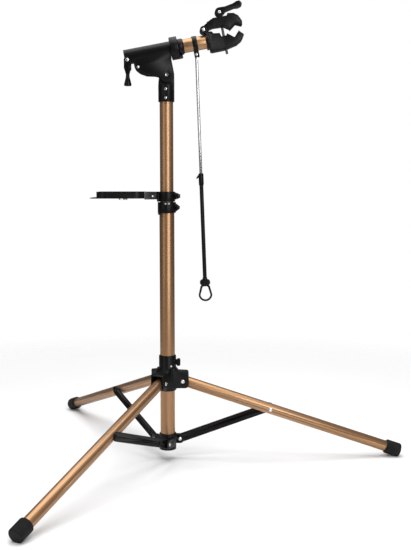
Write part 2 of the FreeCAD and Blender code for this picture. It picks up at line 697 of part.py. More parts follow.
def make_tray_knob():
    return knob_on_bolt("tray_knob", "knob_radius - 0.6",
                        ("clamp_bolt_at", "-7.2", "(tray_collar_bottom + tray_collar_top)/2 + 1.5"),
                        "6", 6)


def make_tray_arm():
    """The folded steel bracket between the collar and the pan: a back plate, two sides, a floor."""
    left, right = "-tray_near", "-upper_tube_radius - 8"
    body = new_body("tray_arm_plate")
    pad(body, "XY_Plane", [[(right, "-11"), (right, "11"), (left, "34"), (left, "-34")]],
        "tray_top - tray_floor + 3", lift="tray_floor - 3")
    wall = "tray_arm_wall"
    hollow = new_body("tray_arm_hollow")
    pad(hollow, "XY_Plane", [[(f"{right} - {wall}", "-11"), (f"{right} - {wall}", "11"),
                              (f"{left} + {wall}", f"34 - {wall}"),
                              (f"{left} + {wall}", f"-34 + {wall}")]], "60", lift=f"tray_floor - 3 + {wall}")
    holes = [hollow, cylinder("tray_arm_hole", "2.2", "80", ("-36", "-40", "tray_floor + 5"), TO_PLUS_Y)]
    holes += tray_screw_holes("tray_arm")
    return cut("tray_arm", body, holes)


def rounded(low, high, half, corner):
    return [(f"{low} + {corner}", f"-({half})"), (f"{high} - {corner}", f"-({half})",
             f"{high} - {corner}", f"-({half}) + {corner}", 1),
            (high, f"-({half}) + {corner}"), (high, f"{half} - {corner}",
             f"{high} - {corner}", f"{half} - {corner}", 1),
            (f"{high} - {corner}", half), (f"{low} + {corner}", half,
             f"{low} + {corner}", f"{half} - {corner}", 1),
            (low, f"{half} - {corner}"), (low, f"-({half}) + {corner}",
             f"{low} + {corner}", f"-({half}) + {corner}", 1)]


def make_tray_pan():
    body = new_body("tray_pan")
    far, near, half = "-tray_far", "-tray_near - 0.0", "tray_depth/2"
    pad(body, "XY_Plane", [rounded(f"{far} - tray_lip", near, f"{half} + 3", "tray_corner")],
        "tray_wall", lift="tray_floor")
    pad(body, "XY_Plane", [rounded(far, near, half, "tray_corner")], "tray_top - tray_floor",
        lift="tray_floor")
    pad(body, "XY_Plane", [rounded(f"{far} + tray_wall", f"{near} - tray_wall", f"{half} - tray_wall",
                                   "tray_corner - tray_wall")],
        "60", lift="tray_floor + tray_wall", cut=True, flip=True)
    for k in range(3):
        pad(body, "XY_Plane", [(f"{far} + 22 + {k}*34", f"{half} - 16", "7")],
            "60", lift="tray_floor - 1", cut=True, flip=True)
    return body


def make_tray_feet():
    """Two magnet buttons pressed into the underside of the pan."""
    return group("tray_buttons", [cylinder(f"tray_button_{k}", radius, "4",
                                           (x, "-10", "tray_floor - 4"))
                                  for k, (x, radius) in enumerate((("-118", "3"), ("-105", "5.5")))])


def make_tray_screws():
    return group("tray_screws", [headed(f"tray_screw_{k}", "2", "5", "3.4", "1.8", at, TO_PLUS_X,
                                        both=False) for k, at in enumerate(TRAY_SCREWS)])


# ---------------------------------------------------------------- head

PIVOT_X = "((tilt_x - head_x)*cos(head_tilt) + (tilt_height - head_z)*sin(head_tilt))"
PIVOT_Z = "((tilt_height - head_z)*cos(head_tilt) - (tilt_x - head_x)*sin(head_tilt))"


def cheek_outline():
    x, z, r = PIVOT_X, PIVOT_Z, "tongue_radius"
    return [("collar_front - 20", "0"), (f"{x} + {r}", "-25"), (f"{x} + {r}", z, x, z, -1),
            (f"{x} - {r}", z), (f"{x} - {r} - 9", f"{z} + 4"), (f"{x} - {r} - 30", f"{z} + 9"),
            ("-76", "-45"), ("-84", "-36"), ("-87", "-28"), ("-86", "0")]


def along_head(label, radius, start, length):
    """A cylinder on the head's axis, from start along it."""
    return cylinder(label, radius, length, in_head(start, "0"), HEAD_TURN * TO_PLUS_X)


HEAD_RIVET = in_head("-78", "-31", "-cheek_outside")


def make_head_casting():
    length = "barrel_back + barrel_front"
    pieces = [along_head("barrel", "barrel_radius", "-barrel_back", length),
              along_head("head_collar", "collar_radius", "barrel_front - 1",
                         "collar_front - barrel_front + 1")]
    block = box("head_block", ("26", "22", "14"), in_head("barrel_front", "-collar_radius", "-11"),
                HEAD_TURN)
    pieces.append(block)
    for side in (-1, 1):
        body = new_body("cheek_front" if side < 0 else "cheek_back")
        pad(body, "XZ_Plane", [cheek_outline()], "cheek_plate",
            lift=f"{-side}*(cheek_inside)", flip=side > 0)
        pieces.append(place(body, in_head("0", "0"), HEAD_TURN))
    web = new_body("head_web")
    pad(web, "XZ_Plane", [[("-86", "-10"), ("-86", "-28"), ("-84", "-34"), ("-58", "-40"),
                           ("-50", "-26"), ("-20", "-24"), ("8", "-24"), ("10", "-10")]],
        "2*cheek_inside", middle=True)
    pieces.append(place(web, in_head("0", "0"), HEAD_TURN))
    holes = [along_head("barrel_bore", "shaft_radius + running_clearance", "-barrel_back - 5", "160"),
             cylinder("head_pivot_hole", "bolt_radius + 0.6", "80", ("tilt_x", "-40", "tilt_height"),
                      TO_PLUS_Y),
             cylinder("head_rivet_hole", "1.8", "2*cheek_outside", HEAD_RIVET, TO_PLUS_Y),
             cylinder("lever_pin_hole", "bolt_radius", "80", in_head("lever_x", "lever_z", "-40"),
                      TO_PLUS_Y),
             box("ring_room", ("30", "60", "22"), in_head("collar_front", "-ring_radius - 0.5", "-30"),
                 HEAD_TURN)]
    return cut("head_casting", fuse("head_cast", pieces), holes)


def make_tilt_bolt():
    shank = cylinder("tilt_shank", "bolt_radius", "2*cheek_outside", ("tilt_x", "-cheek_outside",
                                                                      "tilt_height"), TO_PLUS_Y)
    heads = []
    for k, y in enumerate(("-cheek_outside - 4", "cheek_outside")):
        prism = bind(doc.addObject("Part::Prism", f"tilt_hex_{k}"), Circumradius="5.8", Height="4")
        prism.Polygon = 6
        heads.append(place(prism, ("tilt_x", y, "tilt_height"), TO_PLUS_Y))
    washers = [cylinder(f"tilt_washer_{k}", "bolt_radius + 0.6", "cheek_plate",
                        ("tilt_x", y, "tilt_height"), TO_PLUS_Y)
               for k, y in enumerate(("-cheek_outside", "cheek_inside"))]
    return fuse("tilt_bolt", [shank] + heads + washers)


def make_head_rivets():
    """The cross bolt that ties the two cheeks together at their back end."""
    return headed("head_rivet", "1.8", "2*cheek_outside", "3.2", "1.6", HEAD_RIVET, TO_PLUS_Y)


def make_lock_lever():
    at = in_head("lever_x", "lever_z")
    handle = turned("lever_handle", [("0", "-62"), ("8.6", "-61", "0", "-20", 1), ("9.2", "-56"),
                                     ("5", "-40"), ("4.6", "-33"), ("8.2", "-20"), ("0", "-20")], at)
    bridge = box("lever_bridge", ("17", "2*lever_outside", "7"),
                 (f"{at[0]} - 8.5", "-lever_outside", f"{at[2]} - 20.5"))
    pieces = [handle, bridge]
    for k, y in enumerate(("-lever_outside", "lever_half")):
        pieces.append(box(f"lever_plate_{k}", ("17", "lever_plate", "18"),
                          (f"{at[0]} - 8.5", y, f"{at[2]} - 18")))
        pieces.append(cylinder(f"lever_eye_{k}", "8.5", "lever_plate", (at[0], y, at[2]), TO_PLUS_Y))
    hole = cylinder("lever_hole", "pivot_bore", "80", (at[0], "-40", at[2]), TO_PLUS_Y)
    return cut("lock_lever", fuse("lever_casting", pieces), [hole])


def make_lever_pin():
    return headed("lever_pin", "bolt_radius", "2*(lever_outside + gap)", "4.2", "1.6",
                  in_head("lever_x", "lever_z", "-lever_outside - gap"), TO_PLUS_Y)


# ---------------------------------------------------------------- arm and jaws

def make_arm_ring():
    at = in_head("arm_back", "0")
    length = "ring_front - (arm_back)"
    return turned("arm_ring", [("shaft_radius", "0"), ("ring_radius - 1", "0"), ("ring_radius", "1"),
                               ("ring_radius", f"{length} - 3"), ("ring_radius - 2", length),
                               ("shaft_radius", length)], at, HEAD_TURN * TO_PLUS_X)


def make_arm_tube():
    """The arm is stepped down to a spigot that turns inside the barrel, and bored right through."""
    back = "lever_x + bolt_radius + 1"
    return turned("arm_tube", [("shaft_radius - 2.5", back), ("shaft_radius", back),
                               ("shaft_radius", "ring_front"), ("arm_radius", "ring_front"),
                               ("arm_radius", "arm_front"), ("shaft_radius - 2.5", "arm_front")],
                  in_head("0", "0"), HEAD_TURN * TO_PLUS_X)


TOOTH_BACK = ("155.1", "9.4")
VEE_LOW = ("171.8", "-3.6")
TOOTH_FRONT = ("186.2", "11.8")
UPPER_TOOTH = ("164.6", "16.3")
UPPER_VEE = ("181.3", "28.6")
UPPER_TIP = ("196.5", "22.0")


def lowered(corner, by):
    return (corner[0], f"{corner[1]} - ({by})")


def make_lower_jaw():
    body = new_body("lower_jaw_casting")
    pad(body, "XZ_Plane", [[("107", "22"), ("107", "-27"), ("112", "-28.5"), ("145", "-28"),
                            ("176", "-21.5"), ("189", "-14"), ("196.7", "-1.4"),
                            lowered(TOOTH_FRONT, "pad_thickness"), lowered(VEE_LOW, "pad_thickness"),
                            lowered(TOOTH_BACK, "pad_thickness"), ("150.5", "4"), ("140", "4"),
                            ("137", "13"), ("122", "15"), ("118", "20.5")]], "2*jaw_half", middle=True)
    soften(body, lambda e: upright(e, Vector(0, 1, 0)) and (
        e.CenterOfMass.z < -10 or e.CenterOfMass.x > 195), "4")
    place(body, in_head("0", "0"), HEAD_TURN)
    pieces = [body, along_head("jaw_flange", "flange_radius", "arm_front", "107 - arm_front + 1")]
    for k, y in enumerate(("-jaw_half", "tongue_jaw_half + gap")):
        width = "jaw_half - tongue_jaw_half - gap"
        pieces.append(cylinder(f"jaw_ear_{k}", "jaw_eye", width, in_head("jaw_pin_x", "jaw_pin_z", y),
                               TO_PLUS_Y))
        pieces.append(box(f"jaw_neck_{k}", ("10", width, "22"), in_head("arm_front", "4", y),
                          HEAD_TURN))
    holes = [cylinder("jaw_pin_hole", "bolt_radius", "60", in_head("jaw_pin_x", "jaw_pin_z", "-30"),
                      TO_PLUS_Y),
             cylinder("jaw_eye_room", "jaw_eye + gap", "2*(tongue_jaw_half + gap)",
                      in_head("jaw_pin_x", "jaw_pin_z", "-tongue_jaw_half - gap"), TO_PLUS_Y),
             cylinder("jaw_screw_hole", "screw_radius + running_clearance", "60",
                      in_head("screw_x", "-40"), HEAD_TURN)]
    return cut("lower_jaw", fuse("lower_jaw_cast", pieces), holes)


def make_pad(label, corners, by):
    body = new_body(label)
    top = list(corners)
    pad(body, "XZ_Plane", [top + [lowered(c, by) for c in reversed(corners)]],
        "2*jaw_half", middle=True)
    return place(body, in_head("0", "0"), HEAD_TURN)


def make_lower_pad():
    return make_pad("jaw_pad_lower", [TOOTH_BACK, VEE_LOW, TOOTH_FRONT], "pad_thickness")


def make_upper_pad():
    return make_pad("jaw_pad_upper", [UPPER_TOOTH, UPPER_VEE, UPPER_TIP], "-pad_thickness")


def make_jaw_pin():
    return headed("jaw_pin", "bolt_radius", "2*jaw_half", "4.2", "1.8",
                  in_head("jaw_pin_x", "jaw_pin_z", "-jaw_half"), TO_PLUS_Y)


def make_upper_jaw():
    body = new_body("upper_jaw_casting")
    raised = "-pad_thickness"
    pad(body, "XZ_Plane", [[("110", "26.5"), ("124", "30"), ("150.5", "29"),
                            lowered(UPPER_TOOTH, raised), lowered(UPPER_VEE, raised),
                            lowered(UPPER_TIP, raised), ("197.5", "32"), ("190.5", "46.5"),
                            ("180", "54.5"), ("165", "57"), ("162.5", "51.5"), ("134", "51.5"),
                            ("128", "52"), ("110", "44")]], "2*jaw_half", middle=True)
    soften(body, lambda e: upright(e, Vector(0, 1, 0)) and e.CenterOfMass.x > 170
           and e.CenterOfMass.z > 40, "5")
    place(body, in_head("0", "0"), HEAD_TURN)
    tongue = new_body("upper_jaw_tongue")
    pad(tongue, "XZ_Plane", [[("jaw_pin_x", "jaw_pin_z + jaw_eye", "jaw_pin_x", "jaw_pin_z", 1),
                              ("jaw_pin_x", "jaw_pin_z - jaw_eye"), ("jaw_pin_x + 4", "jaw_pin_z - 6"),
                              ("112", "26.5"), ("118", "48")]], "2*tongue_jaw_half", middle=True)
    place(tongue, in_head("0", "0"), HEAD_TURN)
    holes = [cylinder("tongue_hole", "pivot_bore", "60", in_head("jaw_pin_x", "jaw_pin_z", "-30"),
                      TO_PLUS_Y),
             box("upper_jaw_slot", ("20", "9", "60"), in_head("screw_x - 5", "20", "-4.5"), HEAD_TURN)]
    return cut("upper_jaw", fuse("upper_jaw_cast", [body, tongue]), holes)


def make_jaw_screw():
    top = "cam_z"
    screw = cylinder("screw_rod", "screw_radius", f"{top} - screw_bottom", in_head("screw_x", "screw_bottom"),
                     HEAD_TURN)
    eye = cylinder("screw_eye", "6", "6", in_head("screw_x", "cam_z", "-3"), TO_PLUS_Y)
    hole = cylinder("screw_eye_hole", "bolt_radius", "20", in_head("screw_x", "cam_z", "-10"), TO_PLUS_Y)
    return cut("jaw_screw", fuse("screw_body", [screw, eye]), [hole])


def make_cam_lever():
    body = new_body("cam_casting")
    pad(body, "XZ_Plane", [[("0", "cam_radius", "0", "0", 1), ("0", "-cam_radius"), ("6", "-9.5"),
                            ("16", "-1"), ("38", "3.5"), ("47", "2.5"), ("57", "5"), ("59", "12"),
                            ("54", "19"), ("46", "18.5"), ("36", "14.5"), ("16", "11")]],
        "2*cam_half", middle=True)
    soften(body, lambda e: upright(e, Vector(0, 1, 0)) and e.CenterOfMass.x > 50, "3")
    place(body, in_head("screw_x", "cam_z"), HEAD_TURN)
    holes = [cylinder("cam_hole", "pivot_bore", "60", in_head("screw_x", "cam_z", "-30"), TO_PLUS_Y),
             box("cam_slot", ("26", "6.8", "34"), in_head("screw_x - 13", "cam_z - 17", "-3.4"), HEAD_TURN)]
    return cut("cam_lever", body, holes)


def make_cam_pin():
    return headed("cam_pin", "bolt_radius", "2*cam_half + 0.8", "4", "1.4",
                  in_head("screw_x", "cam_z", "-cam_half - 0.4"), TO_PLUS_Y)


# ---------------------------------------------------------------- band and handlebar rod

def make_rod_band():
    ring = turned("band_ring", [("arm_radius", "-band_width/2"), ("band_radius", "-band_width/2"),
                                ("band_radius", "band_width/2"), ("arm_radius", "band_width/2")],
                  in_head("band_x", "0"), HEAD_TURN * TO_PLUS_X)
    lug = box("band_lug", ("band_width", "12", "16"), in_head("band_x - band_width/2", "-33", "-6"),
              HEAD_TURN)
    slot = box("band_slot", ("40", "5.8", "13.5"), in_head("band_x - 20", "-34", "-2.9"), HEAD_TURN)
    hole = cylinder("band_hole", "bolt_radius - 0.4", "40", in_head("rod_pivot_x", "rod_pivot_z", "-20"),
                    TO_PLUS_Y)
    return cut("rod_band", fuse("band_casting", [ring, lug]), [slot, hole])


def make_band_pin():
    return headed("rod_band_pin", "bolt_radius - 0.4", "12", "3.6", "1.6",
                  in_head("rod_pivot_x", "rod_pivot_z", "-6"), TO_PLUS_Y)


ROD_TURN = Rotation(Vector(0, 1, 0), 180 - number("rod_lean"))


def on_rod(along):
    x, _, z = in_head("rod_pivot_x", "rod_pivot_z")
    return (f"{x} + ({along})*sin(rod_lean)", "0", f"{z} - ({along})*cos(rod_lean)")


def make_rod():
    rod = cylinder("rod_shank", "rod_radius", "rod_end", on_rod("0"), ROD_TURN)
    eye = cylinder("rod_eye", "4.6", "4.8", in_head("rod_pivot_x", "rod_pivot_z", "-2.4"), TO_PLUS_Y)
    hole = cylinder("rod_eye_hole", "bolt_radius - 0.4 + running_clearance", "20",
                    in_head("rod_pivot_x", "rod_pivot_z", "-10"), TO_PLUS_Y)
    sides = [box(f"rod_flat_{k}", ("40", "10", "18"), in_head("rod_pivot_x - 20", "rod_pivot_z - 12", y),
                 HEAD_TURN) for k, y in enumerate(("2.4", "-12.4"))]
    return cut("rod_upper", fuse("rod_body", [rod, eye]), [hole] + sides)


def make_rod_sleeve():
    bore = "sleeve_radius - sleeve_wall"
    return turned("rod_sleeve", [(bore, "sleeve_top + 6"), ("sleeve_radius", "sleeve_top + 6"),
                                 ("sleeve_radius", "sleeve_end"), (bore, "sleeve_end")],
                  on_rod("0"), ROD_TURN)


def make_rod_lock():
    ring = turned("lock_ring", [("rod_radius + 0.3", "sleeve_top"), ("5.6", "sleeve_top"),
                                ("6.4", "sleeve_top + 3"), ("6.4", "sleeve_top + 27"),
                                ("sleeve_radius", "sleeve_top + 32"),
                                ("sleeve_radius", "sleeve_top + 6"),
                                ("rod_radius + 0.3", "sleeve_top + 6")], on_rod("0"), ROD_TURN)
    tab = new_body("lock_tab")
    pad(tab, "XZ_Plane", [[("5", "sleeve_top + 1"), ("12.5", "sleeve_top + 11"),
                           ("11", "sleeve_top + 14"), ("5.6", "sleeve_top + 10")]], "6", middle=True)
    place(tab, on_rod("0"), ROD_TURN)
    return fuse("rod_lock", [ring, tab])


def make_rod_fitting():
    body = turned("fitting_neck", [("0", "sleeve_end"), ("sleeve_radius + 0.8", "sleeve_end"),
                                   ("sleeve_radius + 1.6", "sleeve_end + 6"), ("0", "sleeve_end + 6")],
                  on_rod("0"), ROD_TURN)
    plug = cylinder("fitting_plug", "sleeve_radius - sleeve_wall", "14", on_rod("sleeve_end - 14"),
                    ROD_TURN)
    lug = new_body("fitting_lug")
    pad(lug, "XZ_Plane", [[("-9", "sleeve_end + 5"), ("9", "sleeve_end + 5"), ("13", "sleeve_end + 9"),
                           ("13", "sleeve_end + 16"), ("9", "sleeve_end + 20"),
                           ("-9", "sleeve_end + 20"), ("-13", "sleeve_end + 16"),
                           ("-13", "sleeve_end + 9")]], "9", middle=True)
    soften(lug, lambda e: upright(e, Vector(0, 1, 0)), "1.5")
    place(lug, on_rod("0"), ROD_TURN)
    return fuse("rod_fitting", [body, plug, lug])


def pear(inset, top):
    """The loop's outline: straight flanks that spread from the fitting into a round end."""
    half = f"(loop_half - {inset})"
    low = "loop_end - loop_half"
    return [(f"11.5 - {inset}", top), (half, low, "0", low, 1), (f"-{half}", low),
            (f"-11.5 + {inset}", top)]


def make_rod_loop():
    body = new_body("rod_loop")
    pad(body, "XZ_Plane", [pear("0", "sleeve_end + 20"),
                            pear("loop_thickness", "sleeve_end + 23")], "loop_thickness", middle=True)
    return place(body, on_rod("0"), ROD_TURN)


# ---------------------------------------------------------------- the whole stand

def make_all():
    parts = [make_lower_tube(), make_base_bracket(), make_base_plug(), make_base_bolts(),
             make_height_clamp(), make_height_bush(), make_clamp_screws(), make_height_knob(),
             make_hub(), make_hub_bush(), make_hub_bolts(), make_hub_screw(), make_hub_knob()]
    for name, azimuth in LEGS.items():
        parts += [make_leg_tube(name, azimuth), make_leg_foot(name, azimuth),
                  make_leg_bolt(name, azimuth), make_brace(name, azimuth),
                  make_brace_rivets(name, azimuth)]
    parts += [make_upper_tube(), make_upper_bush(), make_head_socket(), make_socket_screws(),
              make_tray_collar(), make_tray_knob(), make_tray_arm(), make_tray_pan(),
              make_tray_feet(), make_tray_screws(), make_head_casting(), make_tilt_bolt(),
              make_head_rivets(), make_lock_lever(), make_lever_pin(),
              make_arm_ring(), make_arm_tube(), make_lower_jaw(), make_lower_pad(), make_jaw_pin(),
              make_upper_jaw(), make_upper_pad(), make_jaw_screw(), make_cam_lever(), make_cam_pin(),
              make_rod_band(), make_band_pin(), make_rod(), make_rod_sleeve(), make_rod_lock(),
              make_rod_fitting(), make_rod_loop()]
    return parts


def check_and_export(parts):
    doc.recompute()
    for item in doc.Objects:
        if any(word in item.State for word in ("Invalid", "Error")):
            raise RuntimeError(f"{item.Name} did not build: {item.State}")
    os.makedirs("parts", exist_ok=True)
    for part in parts:
        shape = part.Shape
        if shape.isNull() or not shape.isValid() or not shape.Solids:
            raise RuntimeError(f"{part.Label} has no valid solid")
        shape.exportStep(f"parts/{part.Label}.step")


check_and_export(make_all())
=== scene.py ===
import json
import math

import bmesh
import bpy
import numpy as np
from mathutils import Matrix, Vector


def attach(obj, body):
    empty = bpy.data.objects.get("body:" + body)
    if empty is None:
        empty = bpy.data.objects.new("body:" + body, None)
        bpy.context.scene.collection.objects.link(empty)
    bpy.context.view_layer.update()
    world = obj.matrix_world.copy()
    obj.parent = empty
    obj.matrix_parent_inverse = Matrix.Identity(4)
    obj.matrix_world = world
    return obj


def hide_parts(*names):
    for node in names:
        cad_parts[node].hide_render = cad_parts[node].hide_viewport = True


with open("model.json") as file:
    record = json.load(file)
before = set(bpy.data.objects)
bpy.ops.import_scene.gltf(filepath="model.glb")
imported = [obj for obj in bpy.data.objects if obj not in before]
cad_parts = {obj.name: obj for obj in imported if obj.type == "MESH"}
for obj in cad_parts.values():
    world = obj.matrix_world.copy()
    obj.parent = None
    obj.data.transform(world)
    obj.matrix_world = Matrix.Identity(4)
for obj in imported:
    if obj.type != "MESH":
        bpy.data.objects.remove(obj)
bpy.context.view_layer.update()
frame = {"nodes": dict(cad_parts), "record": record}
NODES = frame["nodes"]
BODY_OF = {n: body for body, names in frame["record"]["behaviour"]["bodies"].items() for n in names}
SLOT_OF = {s["node"]: s["material_slot"] for s in frame["record"]["subparts"]}
LEGS = ("right", "back", "front")
MM = 0.001
SAME_POINT = 0.001 * MM

# ---------------------------------------------------------------- camera

CAMERA_PLACE = Vector((0.0025, -2.2164, 0.7145))
CAMERA_DOWN, CAMERA_RIGHT = 5.93, 2.48
CAMERA_LENS, SENSOR_WIDTH = 56.78, 36.0
CLIP_NEAR, CLIP_FAR = 0.05, 60.0


def make_camera():
    """A camera that looks down and to the right by the two angles, in degrees."""
    data = bpy.data.cameras.new("camera")
    data.lens = CAMERA_LENS
    data.sensor_width = SENSOR_WIDTH
    data.clip_start, data.clip_end = CLIP_NEAR, CLIP_FAR
    camera = bpy.data.objects.new("camera", data)
    bpy.context.scene.collection.objects.link(camera)
    camera.location = CAMERA_PLACE
    camera.rotation_euler = (math.radians(90 - CAMERA_DOWN), 0.0, math.radians(-CAMERA_RIGHT))
    bpy.context.scene.camera = camera


make_camera()

# ---------------------------------------------------------------- materials


class Nodes:
    """A small helper to write a material's node tree."""

    def __init__(self, name):
        self.material = bpy.data.materials.new(name)
        self.material.use_nodes = True
        self.tree = self.material.node_tree
        self.shader = self.tree.nodes["Principled BSDF"]
        self.coords = self.tree.nodes.new("ShaderNodeTexCoord").outputs["Object"]

    def add(self, kind, inputs=None, **settings):
        node = self.tree.nodes.new("ShaderNode" + kind)
        for key, value in settings.items():
            setattr(node, key, value)
        for key, value in (inputs or {}).items():
            if isinstance(value, bpy.types.NodeSocket):
                self.tree.links.new(value, node.inputs[key])
            else:
                node.inputs[key].default_value = value
        return node

    def noise(self, scale, detail=3.0, roughness=0.55, stretch=None):
        vector = self.coords
        if stretch:
            vector = self.add("Mapping", {"Vector": vector, "Scale": stretch}).outputs["Vector"]
        return self.add("TexNoise", {"Vector": vector, "Scale": scale, "Detail": detail,
                                     "Roughness": roughness}).outputs["Fac"]

    def ramp(self, factor, stops):
        node = self.add("ValToRGB", {"Fac": factor})
        ramp = node.color_ramp
        while len(ramp.elements) < len(stops):
            ramp.elements.new(0.5)
        for element, (place, colour) in zip(ramp.elements, stops):
            element.position = place
            element.color = (*colour, 1.0)
        return node.outputs["Color"]

    def remap(self, value, low, high, start=0.0, stop=1.0):
        return self.add("MapRange", {"Value": value, "From Min": start, "From Max": stop,
                                     "To Min": low, "To Max": high}).outputs["Result"]

    def mix(self, factor, a, b):
        node = self.add("Mix", data_type="RGBA")
        first, second = node.inputs[6], node.inputs[7]
        for socket, value in ((node.inputs["Factor"], factor), (first, a), (second, b)):
            if isinstance(value, bpy.types.NodeSocket):
                self.tree.links.new(value, socket)
            else:
                socket.default_value = value if isinstance(value, float) else (*value, 1.0)
        return node.outputs[2]

    def bump(self, height, strength, distance):
        node = self.add("Bump", {"Height": height, "Strength": strength, "Distance": distance})
        self.tree.links.new(node.outputs["Normal"], self.shader.inputs["Normal"])

    def link(self, output, name):
        self.tree.links.new(output, self.shader.inputs[name])

    def set(self, **values):
        for key, value in values.items():
            self.shader.inputs[key.replace("_", " ")].default_value = value


ALONG_Z = (1.0, 1.0, 0.03)
PARTLY_ALONG_Z = tuple(0.25 + 0.75 * s for s in ALONG_Z)
RUBBER = (0.004, 0.004, 0.0042)


def anodised(name):
    """Bronze anodised tube: fine drawn lines along it, mottled tone and a soft sheen."""
    m = Nodes(name)
    lines = m.noise(90.0, 4.0, 0.6, ALONG_Z)
    cloud = m.noise(9.0, 3.0, 0.5, PARTLY_ALONG_Z)
    tone = m.ramp(cloud, [(0.28, (0.26, 0.133, 0.057)), (0.5, (0.335, 0.183, 0.088)),
                          (0.74, (0.425, 0.252, 0.142))])
    streak = m.ramp(lines, [(0.3, (0.27, 0.140, 0.062)), (0.7, (0.48, 0.295, 0.17))])
    m.link(m.mix(0.28, tone, streak), "Base Color")
    m.link(m.remap(lines, 0.36, 0.44, 0.3, 0.7), "Roughness")
    m.bump(lines, 0.006, 0.0001)
    m.set(Metallic=0.9, Coat_Weight=0.18, Coat_Roughness=0.22)
    return m.material


def moulded(name, colour, rough, grain=900.0, depth=0.00012, wear=0.5):
    """Glass-filled nylon or die casting in black: fine grain, faint clouding, a few paler scuffs."""
    m = Nodes(name)
    fine = m.noise(grain, 2.0, 0.5)
    broad = m.noise(14.0, 4.0, 0.6)
    light = tuple(c * 1.5 for c in colour)
    base = m.mix(m.remap(broad, 0.0, 0.4, 0.35, 0.75), colour, light)
    scuffs = m.remap(m.noise(60.0, 5.0, 0.7), 0.0, wear, 0.62, 0.8)
    m.link(m.mix(scuffs, base, tuple(c * 6.0 for c in colour)), "Base Color")
    m.link(m.remap(broad, rough - 0.02, rough + 0.02, 0.3, 0.7), "Roughness")
    m.bump(fine, 0.35, depth)
    m.set(Specular_IOR_Level=0.17)
    return m.material


def steel(name, colour, rough):
    """Plated steel with fine turning marks and a few duller patches."""
    m = Nodes(name)
    marks = m.noise(320.0, 3.0, 0.6, (1.0, 1.0, 6.0))
    dull = m.noise(45.0, 4.0, 0.65)
    m.link(m.ramp(dull, [(0.35, tuple(0.72 * c for c in colour)), (0.62, colour)]), "Base Color")
    m.link(m.remap(dull, rough, rough + 0.16, 0.4, 0.75), "Roughness")
    m.bump(marks, 0.12, 0.0001)
    m.set(Metallic=1.0)
    return m.material


def rubber(name, colour):
    """Matt black rubber with a fine pebble and dusty scuffs."""
    m = Nodes(name)
    pebble = m.add("TexVoronoi", {"Vector": m.coords, "Scale": 700.0}).outputs["Distance"]
    dust = m.noise(30.0, 5.0, 0.7)
    m.link(m.ramp(dust, [(0.45, colour), (0.85, (0.02, 0.019, 0.018))]), "Base Color")
    m.link(m.remap(dust, 0.62, 0.85, 0.3, 0.8), "Roughness")
    m.bump(pebble, 0.3, 0.0002)
    m.set(Specular_IOR_Level=0.2)
    return m.material


def ribbed_rubber(name, colour):
    """The feet's rubber: moulded rings about 3 mm apart round the leg's axis, over the plain pebble."""
    material = rubber(name, colour)
    tree = material.node_tree
    pebble_bump = next(n for n in tree.nodes if n.type == "BUMP")
    coords = next(n for n in tree.nodes if n.type == "TEX_COORD")
    wave = tree.nodes.new("ShaderNodeTexWave")
    wave.bands_direction = "Z"
    wave.inputs["Scale"].default_value = 105.0
    ribs = tree.nodes.new("ShaderNodeBump")
    ribs.inputs["Strength"].default_value = 0.8
    ribs.inputs["Distance"].default_value = 0.0012
    tree.links.new(coords.outputs["Object"], wave.inputs["Vector"])
    tree.links.new(wave.outputs["Fac"], ribs.inputs["Height"])
    tree.links.new(ribs.outputs["Normal"], pebble_bump.inputs["Normal"])
    return material


def chrome(name):
    """Bright chrome with faint long smears."""
    m = Nodes(name)
    smear = m.noise(25.0, 3.0, 0.6, (1.0, 1.0, 0.15))
    m.link(m.ramp(smear, [(0.3, (0.56, 0.56, 0.57)), (0.7, (0.63, 0.63, 0.64))]), "Base Color")
    m.link(m.remap(smear, 0.16, 0.22, 0.3, 0.75), "Roughness")
    m.bump(smear, 0.01, 0.0001)
    m.set(Metallic=1.0)
    return m.material


MATERIALS = {
    "bronze_anodised": anodised("anodised_column"),
    "black_casting": moulded("black_casting", (0.0022, 0.0022, 0.0023), 0.38),
    "black_knob": moulded("black_knob", (0.002, 0.002, 0.002), 0.30, grain=1500.0, depth=0.00005),
    "black_steel": moulded("black_powder_coat", (0.0032, 0.0027, 0.0023), 0.42, grain=1800.0,
                           depth=0.00008, wear=0.7),
    "grey_steel": steel("zinc_plate", (0.13, 0.13, 0.135), 0.36),
    "bolt_steel": steel("bolt_steel", (0.78, 0.78, 0.78), 0.22),
    "chrome_rod": chrome("chrome_rod"),
    "black_rubber": rubber("black_rubber", RUBBER),
}


# ---------------------------------------------------------------- shapes


def points_of(node):
    """A node's points as an array."""
    return np.array([tuple(v.co) for v in NODES[node].data.vertices])


def axis_of(node):
    """Middle and unit direction of a long straight node."""
    points = points_of(node)
    middle = (points.min(0) + points.max(0)) / 2
    _, _, rows = np.linalg.svd(points - points.mean(0), full_matrices=False)
    return Vector(middle), Vector(rows[0]).normalized()


def islands(node):
    """The separate solids of a node, each as an array of its points."""
    mesh = bmesh.new()
    mesh.from_mesh(NODES[node].data)
    bmesh.ops.remove_doubles(mesh, verts=mesh.verts, dist=SAME_POINT)
    seen, found = set(), []
    for start in mesh.verts:
        if start in seen:
            continue
        queue, members = [start], []
        seen.add(start)
        while queue:
            vertex = queue.pop()
            members.append(tuple(vertex.co))
            for edge in vertex.link_edges:
                other = edge.other_vert(vertex)
                if other not in seen:
                    seen.add(other)
                    queue.append(other)
        found.append(np.array(members))
    mesh.free()
    return found


def frame_along(place, direction):
    """A matrix whose Z axis is the direction and whose origin is the place."""
    z = Vector(direction).normalized()
    upright = abs(z.z) >= 0.9
    side = Vector((1, 0, 0)) if upright else Vector((0, 0, 1))
    x = (side - z * side.dot(z)).normalized()
    turn = Matrix((x, z.cross(x), z)).transposed().to_4x4()
    return Matrix.Translation(Vector(place)) @ turn


SIX_SIDED = "hexagon"


def hexagon(angle):
    """How far a hexagon with corners at radius 1 reaches at an angle."""
    return math.cos(math.pi / 6) / math.cos(angle % (math.pi / 3) - math.pi / 6)


